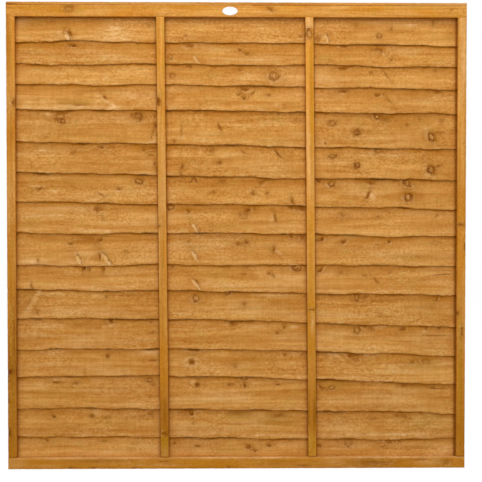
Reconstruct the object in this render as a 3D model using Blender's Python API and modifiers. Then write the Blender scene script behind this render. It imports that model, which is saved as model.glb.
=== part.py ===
"""Overlap fence panel: waney-edged boards, each leaning over the next, pinched between a front
and a rear frame of sawn battens, with a capping strip along the top.

Metres, +Z up. The front looks along -Y and X runs from the left end to the right end. The
origin is on the left end, half way up the outer side of the front edge batten, where the
panel meets its post.
"""
import math
import random

import bmesh
import bpy
from mathutils import Vector

# Driving sizes of the whole panel
PANEL_WIDTH = 1.828
PANEL_HEIGHT = 1.858

# Sawn sections, all of the frame's pieces being as thick as each other
FRAME_THICKNESS = 0.0155
RAIL_HEIGHT = 0.045
EDGE_BATTEN_WIDTH = 0.034
INNER_BATTEN_WIDTH = 0.032
CAP_THICKNESS = 0.012
ARRIS = 0.0008

# Room between the two frames, where the boards lean
BOARD_ROOM = 0.015
BOARD_THICKNESS = 0.006
BOARD_LAP = 0.021
WANE = 0.0028

# How far things stay from each other
CONTACT_GAP = 0.0003
BOARD_END_INSET = 0.0012
BOARD_TOP_CLEARANCE = 0.006
BOARD_FOOT_CLEARANCE = 0.007

# Inner battens: the middle of each from the left end, and how far its foot is right of its top
INNER_BATTEN_PLACES = {"left": 0.617, "right": 1.213}
INNER_BATTEN_LEAN = 0.015

# Boards from the top down, in millimetres: how much of the board shows at the left end, how
# far its lower edge falls towards the right end, and how far the edge rises above that
# straight line at five stations: mid-bay, batten, mid-bay, batten, mid-bay
BOARDS = (
    (99, 16, (8, 3, 7, 5, 3)),
    (86, 14, (-2, 6, 0, 6, 0)),
    (80, 25, (0, 6, 5, 3, 2)),
    (100, 21, (-1, 3, 3, 0, -1)),
    (130, 36, (1, 2, 2, 0, 1)),
    (122, 39, (2, 0, -1, -3, 3)),
    (114, 42, (0, -1, 6, 3, 3)),
    (126, 22, (-3, 4, 5, 4, -3)),
    (129, 13, (-4, 4, 0, 4, 1)),
    (96, 34, (-3, 3, 2, -1, 0)),
    (118, 44, (6, 8, 11, 5, 1)),
    (125, 37, (7, 12, 14, 11, 6)),
    (112, 40, (11, 17, 17, 13, 7)),
    (126, 30, (6, 5, 7, 5, 7)),
    (114, 14, (3, 1, -3, -4, -6)),
    (80, 0, (0, 0, 0, 0, 0)),
)
MM = 0.001

# A board's upper edge follows this share of the waviness of the board above it
UPPER_EDGE_SHARE = 0.7

# Small natural ripple of a waney edge: wavelength and height, in metres
RIPPLES = ((0.43, 0.0014), (0.23, 0.0012), (0.13, 0.0009))
UPPER_RIPPLE_SHARE = 0.5
RIPPLE_SEED = 7
STATION_PITCH = 0.042

# Sawn softwood after its golden brown dip, the battens a little brighter than the boards
BOARD_COLOURS = ("D09049", "C98A45", "D2934B", "C48643", "BD8142")
FRAME_COLOUR = "D8923F"
CAP_COLOUR = "CD8F47"
TIMBER_ROUGHNESS = 0.72

BASE = -PANEL_HEIGHT / 2
TOP = PANEL_HEIGHT / 2
FRONT = -FRAME_THICKNESS / 2
BOARD_ROOM_FRONT = FRONT + FRAME_THICKNESS
BOARD_ROOM_BACK = BOARD_ROOM_FRONT + BOARD_ROOM
BACK = BOARD_ROOM_BACK + FRAME_THICKNESS
RAIL_TOP = TOP - CAP_THICKNESS - CONTACT_GAP
TOP_RAIL_FOOT = RAIL_TOP - RAIL_HEIGHT
BOTTOM_RAIL_TOP = BASE + RAIL_HEIGHT
CLEAR_HEIGHT = TOP_RAIL_FOOT - BOTTOM_RAIL_TOP


def remove_everything():
    for thing in list(bpy.data.objects):
        bpy.data.objects.remove(thing)


def linear(hex_colour):
    """Linear red, green and blue of an sRGB hex colour."""
    channels = [int(hex_colour[i:i + 2], 16) / 255 for i in (0, 2, 4)]
    return [c / 12.92 if c <= 0.04045 else ((c + 0.055) / 1.055) ** 2.4 for c in channels]


def timber(name, hex_colour):
    """Sawn timber of one colour, for one piece."""
    material = bpy.data.materials.new(name)
    material.use_nodes = True
    shader = material.node_tree.nodes["Principled BSDF"]
    shader.inputs["Base Color"].default_value = (*linear(hex_colour), 1)
    shader.inputs["Roughness"].default_value = TIMBER_ROUGHNESS
    shader.inputs["Metallic"].default_value = 0
    return material


def add_piece(collection, name, bm, hex_colour, location=(0, 0, 0)):
    """Put a finished bmesh into the collection as a named piece of timber."""
    mesh = bpy.data.meshes.new(name)
    bm.to_mesh(mesh)
    bm.free()
    mesh.materials.append(timber(name + "_timber", hex_colour))
    piece = bpy.data.objects.new(name, mesh)
    piece.location = location
    collection.objects.link(piece)
    return piece


def sawn_length(collection, name, low, high, hex_colour):
    """A straight sawn piece between two corners, with its arrises eased."""
    low, high = Vector(low), Vector(high)
    bm = bmesh.new()
    bmesh.ops.create_cube(bm, size=1)
    bmesh.ops.scale(bm, vec=high - low, verts=bm.verts)
    piece = add_piece(collection, name, bm, hex_colour, (low + high) / 2)
    easing = piece.modifiers.new("eased arrises", "BEVEL")
    easing.width = ARRIS
    easing.segments = 1
    easing.limit_method = "NONE"
    return piece


def add_rails(collection, side, front):
    """The two full-width rails of the front or the rear frame."""
    back = front + FRAME_THICKNESS
    for level, foot in (("top", TOP_RAIL_FOOT), ("bottom", BASE)):
        sawn_length(
            collection, f"{side}_{level}_rail",
            (0, front, foot), (PANEL_WIDTH, back, foot + RAIL_HEIGHT), FRAME_COLOUR,
        )


def add_edge_battens(collection, side, front):
    """The two upright battens that stand flush with the panel's ends, between the rails."""
    back = front + FRAME_THICKNESS
    foot = BOTTOM_RAIL_TOP + CONTACT_GAP
    head = TOP_RAIL_FOOT - CONTACT_GAP
    for end, left in (("left", 0), ("right", PANEL_WIDTH - EDGE_BATTEN_WIDTH)):
        sawn_length(
            collection, f"{side}_{end}_edge_batten",
            (left, front, foot), (left + EDGE_BATTEN_WIDTH, back, head), FRAME_COLOUR,
        )


def add_inner_battens(collection, side, front):
    """The two upright battens that part the bays, each nailed on slightly out of plumb."""
    lean = math.atan2(INNER_BATTEN_LEAN, CLEAR_HEIGHT)
    trim = CONTACT_GAP + INNER_BATTEN_WIDTH / 2 * math.sin(lean)
    length = (CLEAR_HEIGHT - 2 * trim) / math.cos(lean)
    middle = (BOTTOM_RAIL_TOP + TOP_RAIL_FOOT) / 2
    for bay, place in INNER_BATTEN_PLACES.items():
        half = INNER_BATTEN_WIDTH / 2
        batten = sawn_length(
            collection, f"{side}_{bay}_inner_batten",
            (place - half, front, middle - length / 2),
            (place + half, front + FRAME_THICKNESS, middle + length / 2), FRAME_COLOUR,
        )
        batten.rotation_euler.y = -lean


def add_frame(collection, side, front):
    add_rails(collection, side, front)
    add_edge_battens(collection, side, front)
    add_inner_battens(collection, side, front)


def add_capping(collection):
    """The strip that sheds rain from both frames and from the boards' end grain."""
    sawn_length(
        collection, "capping_strip",
        (0, FRONT, TOP - CAP_THICKNESS), (PANEL_WIDTH, BACK, TOP), CAP_COLOUR,
    )


def along_stations(readings, x):
    """Smooth value at x between readings at the ends, the inner battens and the mid-bays."""
    left, right = INNER_BATTEN_PLACES["left"], INNER_BATTEN_PLACES["right"]
    places = (
        0, left / 2, left, (left + right) / 2, right, (right + PANEL_WIDTH) / 2, PANEL_WIDTH,
    )
    values = (0, *readings, 0)
    for i in range(len(places) - 1):
        if x <= places[i + 1]:
            break
    share = min(max((x - places[i]) / (places[i + 1] - places[i]), 0), 1)
    eased = share * share * (3 - 2 * share)
    return values[i] + (values[i + 1] - values[i]) * eased


def ripple(x, phases):
    return sum(
        height * math.sin(2 * math.pi * (x / wavelength + phase))
        for (wavelength, height), phase in zip(RIPPLES, phases)
    )


def left_end_heights():
    """Heights of the boards' lower edges at the left end: the gauges share out the room
    between the rails, and the last board runs on down behind the bottom rail."""
    shown = sum(gauge for gauge, _, _ in BOARDS)
    heights = []
    height = TOP_RAIL_FOOT
    for gauge, _, _ in BOARDS:
        height -= gauge / shown * CLEAR_HEIGHT
        heights.append(height)
    heights[-1] = BASE + BOARD_FOOT_CLEARANCE
    return heights


def lower_edge(index, heights, x):
    """Height of a board's lower edge at x, without its ripple."""
    _, fall, waviness = BOARDS[index]
    straight = heights[index] - fall * MM * x / PANEL_WIDTH
    return straight, along_stations(waviness, x) * MM


def shaped_edges(index, heights, x, phases):
    """Lower and upper edge of a board at x. The upper edge runs on behind the board above."""
    straight, wave = lower_edge(index, heights, x)
    low = straight + wave
    if index < len(BOARDS) - 1:
        low += ripple(x, phases)
    if index == 0:
        return low, RAIL_TOP - BOARD_TOP_CLEARANCE
    straight, wave = lower_edge(index - 1, heights, x)
    high = straight + wave * UPPER_EDGE_SHARE + BOARD_LAP
    return low, high + ripple(x, phases[::-1]) * UPPER_RIPPLE_SHARE


def board_blank(length, height):
    """A sawn blank with its lower front edge waned, cut into stations along its length."""
    bm = bmesh.new()
    bmesh.ops.create_cube(bm, size=1)
    bmesh.ops.scale(bm, vec=(length, BOARD_THICKNESS, height), verts=bm.verts)
    bmesh.ops.translate(bm, vec=(length / 2, BOARD_THICKNESS / 2, height / 2), verts=bm.verts)
    nose = [
        edge for edge in bm.edges
        if all(abs(v.co.y) < ARRIS and abs(v.co.z) < ARRIS for v in edge.verts)
    ]
    bmesh.ops.bevel(
        bm, geom=nose, offset=WANE, offset_type="OFFSET", segments=1, profile=0.5,
        affect="EDGES", material=-1,
    )
    lengthways = [e for e in bm.edges if abs(e.verts[0].co.x - e.verts[1].co.x) > length / 2]
    bmesh.ops.subdivide_edges(
        bm, edges=lengthways, cuts=round(length / STATION_PITCH) - 1, use_grid_fill=True,
    )
    return bm


def add_board(collection, index, heights, chance):
    """One board: a blank whose edges are shaped station by station, leaning so that its
    lower edge meets the front frame and its upper edge meets the rear frame."""
    left = BOARD_END_INSET * chance.uniform(1, 2)
    right = PANEL_WIDTH - BOARD_END_INSET * chance.uniform(1, 2)
    phases = [chance.random() for _ in RIPPLES]
    blank_height = 1
    bm = board_blank(right - left, blank_height)
    bmesh.ops.translate(bm, vec=(left, 0, 0), verts=bm.verts)
    lean = BOARD_ROOM - BOARD_THICKNESS - 2 * CONTACT_GAP
    for vertex in bm.verts:
        low, high = shaped_edges(index, heights, vertex.co.x, phases)
        in_wane = 0 < vertex.co.z < blank_height / 2
        rise = vertex.co.z if in_wane else (high - low) * vertex.co.z / blank_height
        vertex.co.z = low + rise
        vertex.co.y += BOARD_ROOM_FRONT + CONTACT_GAP + lean * rise / (high - low)
    colour = BOARD_COLOURS[chance.randrange(len(BOARD_COLOURS))]
    add_piece(collection, f"lap_board_{index + 1:02d}", bm, colour)


def main():
    remove_everything()
    panel = bpy.data.collections.new("overlap_fence_panel")
    bpy.context.scene.collection.children.link(panel)
    chance = random.Random(RIPPLE_SEED)
    heights = left_end_heights()
    for index in range(len(BOARDS)):
        add_board(panel, index, heights, chance)
    add_frame(panel, "front", FRONT)
    add_frame(panel, "rear", BOARD_ROOM_BACK)
    add_capping(panel)


main()
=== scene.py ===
"""Looks of an overlap fence panel: waney boards, sawn battens and capping of dip-treated softwood,
nail heads and a plain oval plate, on a plain pale stage."""
import math
import random

import bmesh
import bpy
import numpy as np
from bpy.props import FloatProperty, FloatVectorProperty, PointerProperty
from mathutils import Matrix, Vector


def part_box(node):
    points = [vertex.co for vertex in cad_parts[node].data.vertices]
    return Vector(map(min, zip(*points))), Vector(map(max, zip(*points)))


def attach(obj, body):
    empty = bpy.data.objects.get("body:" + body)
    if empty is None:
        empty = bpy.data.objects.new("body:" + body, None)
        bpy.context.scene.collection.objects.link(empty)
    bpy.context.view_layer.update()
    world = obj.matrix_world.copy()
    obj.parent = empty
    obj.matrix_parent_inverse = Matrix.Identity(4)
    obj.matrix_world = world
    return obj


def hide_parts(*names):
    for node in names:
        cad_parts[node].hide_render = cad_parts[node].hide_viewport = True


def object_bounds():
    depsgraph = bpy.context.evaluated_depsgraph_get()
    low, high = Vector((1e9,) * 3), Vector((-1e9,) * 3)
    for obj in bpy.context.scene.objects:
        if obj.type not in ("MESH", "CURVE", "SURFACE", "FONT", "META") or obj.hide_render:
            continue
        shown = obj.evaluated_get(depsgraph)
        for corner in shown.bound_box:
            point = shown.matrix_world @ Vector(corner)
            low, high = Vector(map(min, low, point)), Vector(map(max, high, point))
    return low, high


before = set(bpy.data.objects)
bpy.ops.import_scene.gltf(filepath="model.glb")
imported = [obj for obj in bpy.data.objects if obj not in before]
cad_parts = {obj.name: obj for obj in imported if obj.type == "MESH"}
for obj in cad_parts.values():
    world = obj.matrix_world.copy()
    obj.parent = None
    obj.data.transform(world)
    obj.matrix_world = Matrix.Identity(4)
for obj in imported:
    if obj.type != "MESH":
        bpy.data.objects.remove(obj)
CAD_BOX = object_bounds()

bl_info = {
    "name": "Overlap fence panel finish",
    "version": (1, 0, 0),
    "blender": (4, 5, 0),
    "location": "3D View > Sidebar > Fence panel",
    "description": "Dresses the panel's boards, battens, rails and capping as dip-treated timber",
    "category": "Object",
}

MM = 0.001

# Places on the panel are counted from its left end and from its base, in metres
LEFT = CAD_BOX[0][0]
BASE = CAD_BOX[0][2]
PANEL_WIDTH = CAD_BOX[1][0] - CAD_BOX[0][0]
PANEL_HEIGHT = CAD_BOX[1][2] - CAD_BOX[0][2]

# Colours that no setting holds, and the one that boards and nails share, sRGB
BOARD_DEEP = "BA7422"
PLATE_DUST = "B9B4A6"
NAIL_DULL = "9A7C50"
FLOOR_WHITE = "F7F7F6"

# Mesh pitch along the timbers and up the boards, the power by which the rows of a board's mesh
# close up towards its waney edge, and the cuts across the face of a frame timber
CELL_LENGTH = 6 * MM
CELL_HEIGHT = 6 * MM
ROWS_CLOSER = 1.35
FACE_CUTS = 5

# A board's faces: how far they lie inside the solid's at front and back, how far they wave, how
# far a knot stands proud and how far the sawn edges are eased, over which width
FRONT_SET_IN = 0.9 * MM
BACK_SET_IN = 0.2 * MM
FACE_WAVE = 0.35 * MM
KNOT_PROUD = 0.55 * MM
UPPER_ARRIS = (0.8 * MM, 1.5 * MM)
END_ARRIS = (0.6 * MM, 1 * MM)

# A board's edges: the least rounding and thickness of the waney one, how near its section comes to
# a quarter circle, how dark its specks of bark are, and how far the upper edge ripples
LEAST_WANE = 0.9 * MM
LEAST_EDGE = 1.2 * MM
WANE_ROUND = 0.96
BARK_SPECKS = 0.2
UPPER_RIPPLE = 0.5 * MM

# The frame's timbers: the width of their arrises, how far these are worn and nibbled, and how far
# a knot has sunk
ARRIS = 1 * MM
ARRIS_WEAR = 0.15 * MM
ARRIS_NIBBLE = 0.25 * MM
KNOT_SUNK = 0.8 * MM

# Seeds of the first rail or batten and of the capping; a board's is its number
FRAME_SEED = 21
CAPPING_SEED = 77

# Each unevenness of the timbers: the lengths of its waves in metres, and a number that sets its
# waves apart from the others on the same timber
WAVES = {
    "rough stretches": ((0.61, 0.37, 0.23), 0),
    "edge bumps": ((0.083, 0.049, 0.031), 40),
    "edge chips": ((0.027, 0.0191, 0.0143), 80),
    "upper edge": ((0.091, 0.057), 120),
    "wane": ((0.31, 0.17, 0.07), 160),
    "face": ((0.21, 0.13, 0.075), 200),
    "bark": ((0.143, 0.061, 0.037), 240),
    "arris wear": ((0.19, 0.083, 0.041), 0),
    "arris nibbles": ((0.093, 0.051, 0.027), 9),
}

# Nail heads: their thickness and how far they are driven in, their distance below the top and
# above the base, from the panel's ends and from an inner batten's side
NAIL_THICKNESS = 0.9 * MM
NAIL_DRIVEN = 0.15 * MM
NAIL_LEVELS = (13 * MM, 28 * MM)
NAIL_FROM_END = 14 * MM
NAIL_FROM_SIDE = 16 * MM

# The plate: its thickness, how deep it is bedded in the rail, and the width and rise of the steps
# in its face, a raised rim and a middle that lies lower
PLATE_THICKNESS = 1 * MM
PLATE_BEDDED = 0.2 * MM
PLATE_STEPS = ((1.6 * MM, 0.3 * MM), (1.2 * MM, -0.25 * MM))

# The camera's place, its turns in degrees from looking straight down, and half the floor's side
CAMERA_PLACE = (0.886, -3.4, 0.0513)
CAMERA_TURNS = (88.843, 0, -0.734)
FLOOR_REACH = 12

# Turns what lies flat to stand upright and face the front
STAND_UP = Matrix.Rotation(math.radians(90), 3, "X")

# What stands for no knot or batten near, and for no lap or edge near, in metres
FAR = 9.0
NO_LAP = 1.0
NO_EDGE = 20 * MM

# What shows on each board, in millimetres, by kind: for each its place from the left end and
# above the base, half its length, half its width, its strength and, where it isn't level, its
# turn in degrees. A dot is a small dark knot, an eye a ringed knot with a paler heart, torn a knot
# whose fibres the saw tore out, a crack a fine split, and pale, deep and olive are patches.
BOARD_FIGURES = {
    1: {
        "dot": ((248, 1738, 13, 7, .9, -60), (713, 1727, 7, 5, .4), (1389, 1767, 9, 9, .3),
            (1530, 1755, 5, 6, .5), (1697, 1778, 6, 12, .5), (1167, 1727, 10, 8, .3)),
        "eye": ((566, 1774, 13, 10, .4), (1238, 1718, 9, 11, .4), (1482, 1727, 12, 11, .6)),
        "torn": ((240, 1720, 20, 8, 1, -65), (1272, 1719, 17, 9, .7, -75)),
        "pale": ((254, 1706, 17, 6, 1), (209, 1739, 12, 9, .5), (421, 1759, 14, 6, .9),
            (393, 1739, 14, 5, .8), (430, 1736, 60, 26, 1), (415, 1752, 30, 4, 1, 20),
            (450, 1722, 40, 5, .9, -15), (400, 1728, 24, 4, .8, 45), (720, 1727, 9, 9, .5),
            (1613, 1771, 18, 5, .9)),
        "deep": ((110, 1775, 90, 14, .4),),
        "olive": ((1768, 1719, 24, 16, .5),),
    },
    2: {
        "dot": ((259, 1690, 17, 7, .9), (723, 1690, 19, 8, .7), (926, 1671, 8, 6, .7),
            (953, 1655, 11, 8, .6), (1483, 1673, 16, 8, .7, -25), (1343, 1687, 18, 6, .7),
            (1530, 1631, 6, 8, .5), (1454, 1671, 10, 6, .4)),
        "eye": ((648, 1643, 9, 11, .5),),
        "torn": ((751, 1634, 20, 6, .7, -50), (1500, 1655, 11, 3, .5, -40)),
        "pale": ((711, 1681, 7, 4, .9), (989, 1631, 26, 13, .5), (820, 1672, 90, 8, .3)),
        "deep": ((1690, 1684, 60, 8, .5),),
        "olive": ((1255, 1632, 50, 16, .5), (386, 1622, 60, 12, .4)),
    },
    3: {
        "dot": ((723, 1606, 13, 7, .6), (926, 1591, 9, 7, .5), (1339, 1598, 20, 7, .8),
            (1450, 1583, 10, 6, .5), (1514, 1569, 23, 4, .5, -55), (1708, 1590, 11, 8, .4)),
        "eye": ((1061, 1566, 19, 16, .9, -20), (655, 1567, 13, 12, .45)),
        "pale": ((953, 1576, 12, 6, .5), (950, 1559, 26, 8, .4), (389, 1562, 12, 8, .5),
            (1320, 1552, 90, 8, .5), (225, 1541, 40, 7, .4)),
        "deep": ((1590, 1600, 90, 10, .5),),
        "olive": ((815, 1570, 60, 18, .35),),
    },
    4: {
        "dot": ((945, 1514, 19, 8, .8), (921, 1495, 9, 6, .5), (978, 1499, 13, 4, .6, 45),
            (941, 1479, 7, 7, .8), (1041, 1491, 10, 6, .5), (1339, 1507, 16, 8, .8),
            (1475, 1491, 14, 7, .7), (1522, 1470, 17, 4, .5, -50), (1720, 1503, 19, 7, .45),
            (386, 1483, 9, 5, .8, -50), (283, 1453, 24, 5, .6)),
        "pale": ((1074, 1451, 13, 8, .8), (358, 1488, 14, 8, .6), (400, 1462, 26, 4, .9, -35),
            (425, 1450, 22, 4, .9, -50), (365, 1470, 20, 4, .8, 20), (110, 1442, 90, 7, .8),
            (290, 1442, 110, 8, 1), (430, 1440, 30, 7, .7)),
        "deep": ((1514, 1506, 26, 10, .6), (350, 1508, 90, 9, .8), (655, 1477, 16, 16, .5),
            (1660, 1500, 120, 10, .5)),
        "olive": ((280, 1463, 70, 12, .7), (830, 1473, 50, 16, .4)),
    },
    5: {
        "dot": ((197, 1394, 14, 6, .7, -15), (214, 1421, 24, 9, .7), (493, 1413, 8, 6, .5),
            (585, 1405, 6, 8, .6), (587, 1369, 6, 8, .6), (579, 1345, 5, 6, .5), (572, 1322, 5, 9, .4),
            (844, 1363, 18, 4, .6, -65), (692, 1351, 20, 5, .4, 90), (664, 1306, 8, 6, .5),
            (1509, 1391, 20, 12, .5), (1595, 1370, 10, 7, .4), (1645, 1394, 8, 6, .4),
            (1735, 1388, 14, 10, .4), (1728, 1341, 22, 5, .4), (1267, 1298, 5, 5, .9)),
        "eye": ((219, 1388, 11, 10, .9), (521, 1408, 15, 17, .7), (1294, 1378, 17, 11, .7),
            (1394, 1341, 14, 14, .85), (1692, 1321, 20, 14, 1, -60), (1476, 1406, 14, 13, 1)),
        "pale": ((158, 1417, 17, 6, 1, -10), (451, 1404, 27, 4, .8), (580, 1312, 14, 16, .5),
            (887, 1391, 17, 4, .9), (692, 1320, 7, 8, .6), (1673, 1358, 16, 7, 1),
            (1476, 1406, 5, 5, .9), (1262, 1303, 14, 9, .8), (420, 1300, 60, 7, .5),
            (800, 1338, 60, 5, .35)),
        "deep": ((1158, 1393, 30, 18, .6), (1560, 1409, 200, 12, .6)),
        "olive": ((373, 1421, 18, 12, .6), (1070, 1403, 20, 16, .6), (1060, 1300, 60, 14, .4)),
    },
    6: {
        "dot": ((258, 1261, 11, 6, .4), (371, 1284, 14, 6, .6), (541, 1276, 7, 10, .4),
            (569, 1252, 12, 7, .5), (585, 1216, 5, 9, .6), (593, 1190, 5, 8, .6),
            (577, 1283, 18, 8, .5), (815, 1272, 16, 11, .5), (843, 1222, 8, 9, .7),
            (696, 1206, 7, 7, .7), (690, 1180, 14, 6, .35, 90), (1075, 1258, 26, 5, .7, -50),
            (938, 1264, 10, 5, .4, -30), (1724, 1205, 15, 6, .6, 25)),
        "eye": ((1297, 1246, 16, 9, .65), (1394, 1209, 14, 13, .85), (1692, 1190, 19, 15, .95, -60),
            (1480, 1268, 15, 9, .7)),
        "pale": ((140, 1272, 20, 6, .8), (383, 1287, 7, 6, .7), (560, 1220, 22, 20, .4),
            (880, 1252, 42, 6, 1, 8), (1504, 1249, 75, 6, .8), (1684, 1168, 26, 9, .5),
            (1050, 1182, 60, 16, .35)),
        "deep": ((1115, 1252, 26, 12, .6), (240, 1278, 160, 12, .5)),
        "olive": ((1130, 1180, 90, 14, .35),),
    },
    7: {
        "dot": ((123, 1119, 17, 6, .6), (442, 1118, 9, 7, .6), (373, 1094, 13, 4, .6, -25),
            (748, 1152, 14, 4, .8, -60), (733, 1150, 12, 3, .6, 60), (852, 1148, 14, 9, .4),
            (1008, 1139, 12, 8, .6), (1028, 1149, 18, 4, .6), (820, 1104, 7, 6, .5),
            (977, 1100, 8, 10, .6), (1035, 1100, 8, 7, .5), (1134, 1068, 15, 5, .7, -70),
            (1449, 1139, 18, 8, .7), (1440, 1090, 17, 5, .95, 60), (1241, 1147, 11, 7, .7)),
        "eye": ((522, 1149, 17, 13, .8, -15), (1293, 1134, 14, 11, .85), (1597, 1137, 18, 13, .85, -20),
            (1600, 1082, 17, 17, 1)),
        "pale": ((122, 1106, 12, 6, .5), (190, 1102, 6, 6, 1), (172, 1106, 22, 7, .4),
            (440, 1127, 22, 3, .6), (434, 1110, 14, 4, .8), (330, 1074, 44, 9, .6),
            (119, 1130, 32, 3, .8), (569, 1085, 20, 5, .8), (965, 1110, 9, 7, .6),
            (995, 1079, 12, 9, .5), (655, 1079, 14, 14, .4), (1457, 1080, 11, 16, 1),
            (1266, 1082, 18, 9, .6)),
        "deep": ((1500, 1150, 150, 9, .7), (690, 1150, 60, 12, .6)),
        "olive": ((1425, 1122, 20, 14, .6), (240, 1150, 80, 9, .4)),
    },
    8: {
        "dot": ((357, 1038, 18, 13, .6), (377, 999, 12, 7, .3), (720, 1028, 11, 9, .6),
            (955, 1028, 13, 8, .95, 35), (1067, 1001, 18, 5, .7, -80), (1134, 1043, 18, 9, .8),
            (1172, 1040, 15, 14, .8), (1338, 1009, 15, 8, .5), (1480, 1002, 9, 5, .6),
            (1716, 1005, 10, 4, .6, 45)),
        "eye": ((648, 1045, 15, 13, .8), (938, 1010, 19, 17, .35)),
        "torn": ((749, 957, 21, 8, .9, -58),),
        "pale": ((170, 1010, 110, 7, .7), (398, 946, 11, 7, 1, -20), (322, 951, 56, 6, .7),
            (1052, 993, 8, 14, .6), (1100, 950, 60, 6, .4)),
        "deep": ((850, 1036, 180, 10, .7), (1450, 1030, 200, 10, .5)),
        "olive": ((860, 966, 60, 12, .5), (90, 985, 40, 26, .4)),
    },
    9: {
        "dot": ((367, 914, 12, 7, .8, 40), (247, 899, 10, 5, .7), (366, 848, 13, 7, .6, 90),
            (118, 832, 9, 5, .5, 90), (720, 906, 9, 6, .5), (951, 902, 9, 8, .8), (918, 894, 11, 6, .5),
            (1063, 874, 10, 5, .9, 90), (1132, 926, 9, 7, .7), (1176, 920, 10, 14, .5),
            (1254, 913, 9, 8, 1), (1234, 908, 17, 7, .5), (1341, 901, 12, 8, .95, 15),
            (1525, 901, 7, 7, 1), (1478, 889, 9, 5, .35)),
        "eye": ((470, 863, 11, 9, .3), (1713, 896, 17, 9, .25)),
        "torn": ((390, 838, 28, 10, 1, -52), (279, 840, 22, 7, .9, -62), (744, 850, 21, 8, .9, -58)),
        "pale": ((90, 829, 44, 7, .9), (1092, 852, 44, 5, .6, -37), (1569, 829, 16, 5, 1, -40),
            (860, 838, 60, 9, .4), (290, 852, 60, 26, .35)),
        "deep": ((305, 917, 48, 17, 1), (1150, 925, 50, 15, .9), (920, 905, 60, 12, .9),
            (1055, 872, 30, 14, .6, -30), (800, 925, 160, 9, .6)),
        "olive": ((1600, 840, 60, 12, .6), (760, 882, 30, 14, .5)),
    },
    10: {
        "dot": ((303, 801, 12, 6, 1, 75), (325, 798, 10, 5, .6, 90), (379, 798, 16, 8, .6, 90),
            (93, 728, 15, 5, .7, -70), (1164, 789, 9, 4, .9), (650, 806, 13, 10, .4),
            (940, 774, 14, 5, .5), (1043, 776, 8, 6, .6), (1062, 766, 5, 8, .5),
            (753, 742, 11, 4, .8, -60), (1249, 789, 15, 6, 1, 35), (1333, 781, 10, 8, .4),
            (1429, 766, 10, 6, .4), (1474, 745, 13, 5, .6, -50), (1530, 777, 9, 5, .35)),
        "eye": ((1152, 802, 19, 13, .8),),
        "torn": ((750, 734, 25, 6, .8, -50),),
        "crack": ((1738, 769, 46, 2.2, .8, 4),),
        "pale": ((317, 805, 4, 9, .7), (80, 735, 8, 14, .5), (788, 742, 22, 9, .4),
            (900, 732, 120, 10, .4)),
        "deep": ((300, 772, 160, 12, .4), (1450, 786, 220, 14, .45)),
        "olive": ((830, 770, 50, 20, .5),),
    },
    11: {
        "dot": ((390, 686, 7, 7, .6), (942, 655, 9, 12, .45), (1397, 667, 8, 6, .9),
            (1429, 680, 12, 8, .5), (1720, 670, 9, 5, .8, 60), (1489, 609, 11, 8, .25),
            (115, 627, 9, 14, .4)),
        "eye": ((748, 678, 15, 13, .95), (876, 702, 12, 11, .9), (1394, 680, 12, 13, .6)),
        "pale": ((193, 696, 62, 8, .9), (118, 697, 20, 7, .9, 62), (98, 668, 34, 8, .6, 66),
            (74, 640, 30, 7, .5, 60), (355, 690, 30, 7, .8), (436, 688, 8, 6, .7),
            (1060, 688, 64, 6, .9), (700, 618, 60, 6, .6), (1000, 622, 150, 9, .4),
            (300, 618, 150, 8, .45)),
        "deep": ((84, 666, 40, 6, .7, 62), (110, 650, 34, 5, .6, 62), (1600, 670, 150, 7, .7),
            (60, 655, 40, 40, .5), (1660, 642, 80, 16, .5)),
        "olive": ((80, 700, 40, 10, .5),),
    },
    12: {
        "dot": ((407, 592, 11, 11, .95), (568, 584, 9, 6, .5), (575, 541, 11, 6, .5),
            (893, 578, 12, 10, .5, -40), (922, 583, 16, 7, .5), (1104, 562, 8, 8, .6),
            (1075, 538, 9, 7, .6), (1414, 568, 26, 8, .8, -10), (1460, 550, 9, 7, .4),
            (1580, 549, 13, 6, .7, 10), (1677, 557, 11, 6, .6, 90), (1728, 558, 11, 9, .5),
            (1705, 524, 55, 4, .5)),
        "eye": ((1396, 545, 13, 12, .75),),
        "pale": ((410, 572, 14, 10, .7), (150, 573, 60, 13, .55), (103, 545, 8, 24, .4),
            (382, 565, 7, 6, .6), (872, 574, 6, 6, .8), (1008, 563, 50, 5, .5), (1143, 562, 18, 5, .7),
            (1488, 558, 26, 4, .9, 8), (1668, 541, 12, 5, .9), (260, 530, 130, 5, .4),
            (1380, 480, 260, 6, .4)),
        "deep": ((300, 572, 100, 14, .6), (1170, 525, 50, 12, .5), (90, 520, 50, 26, .4)),
    },
    13: {
        "dot": ((395, 449, 9, 8, .8), (576, 430, 14, 4, .6), (732, 422, 11, 11, 1),
            (918, 474, 17, 8, .5), (742, 472, 26, 8, .8), (1104, 450, 9, 6, .4), (1393, 430, 16, 9, .5),
            (1397, 455, 46, 8, .7), (1621, 419, 10, 8, .4), (1366, 443, 7, 7, .7),
            (905, 404, 10, 9, .4)),
        "eye": ((1677, 420, 17, 10, .4),),
        "pale": ((714, 434, 20, 5, 1, 25), (750, 433, 14, 5, 1, -35), (716, 409, 17, 5, 1, -20),
            (750, 411, 13, 5, .9, 30), (1147, 455, 26, 7, .6), (1310, 446, 36, 7, .6),
            (1745, 424, 30, 4, .5), (560, 462, 50, 9, .6), (180, 470, 50, 16, .4),
            (1500, 378, 200, 8, .3)),
        "deep": ((732, 449, 34, 4, .7), (1330, 455, 80, 8, .8), (900, 425, 60, 10, .4)),
        "olive": ((1665, 408, 70, 18, .6), (1010, 420, 60, 22, .3)),
    },
    14: {
        "dot": ((187, 343, 13, 5, .8), (267, 340, 13, 8, .6), (580, 330, 9, 6, .4),
            (754, 331, 9, 8, .9), (745, 365, 40, 5, .6), (945, 326, 7, 8, .9), (888, 331, 18, 6, .5),
            (1078, 330, 10, 5, .7), (1050, 356, 16, 8, .4), (1254, 317, 15, 5, .6, -35),
            (1586, 324, 11, 7, .5), (1700, 313, 8, 5, .6)),
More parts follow.
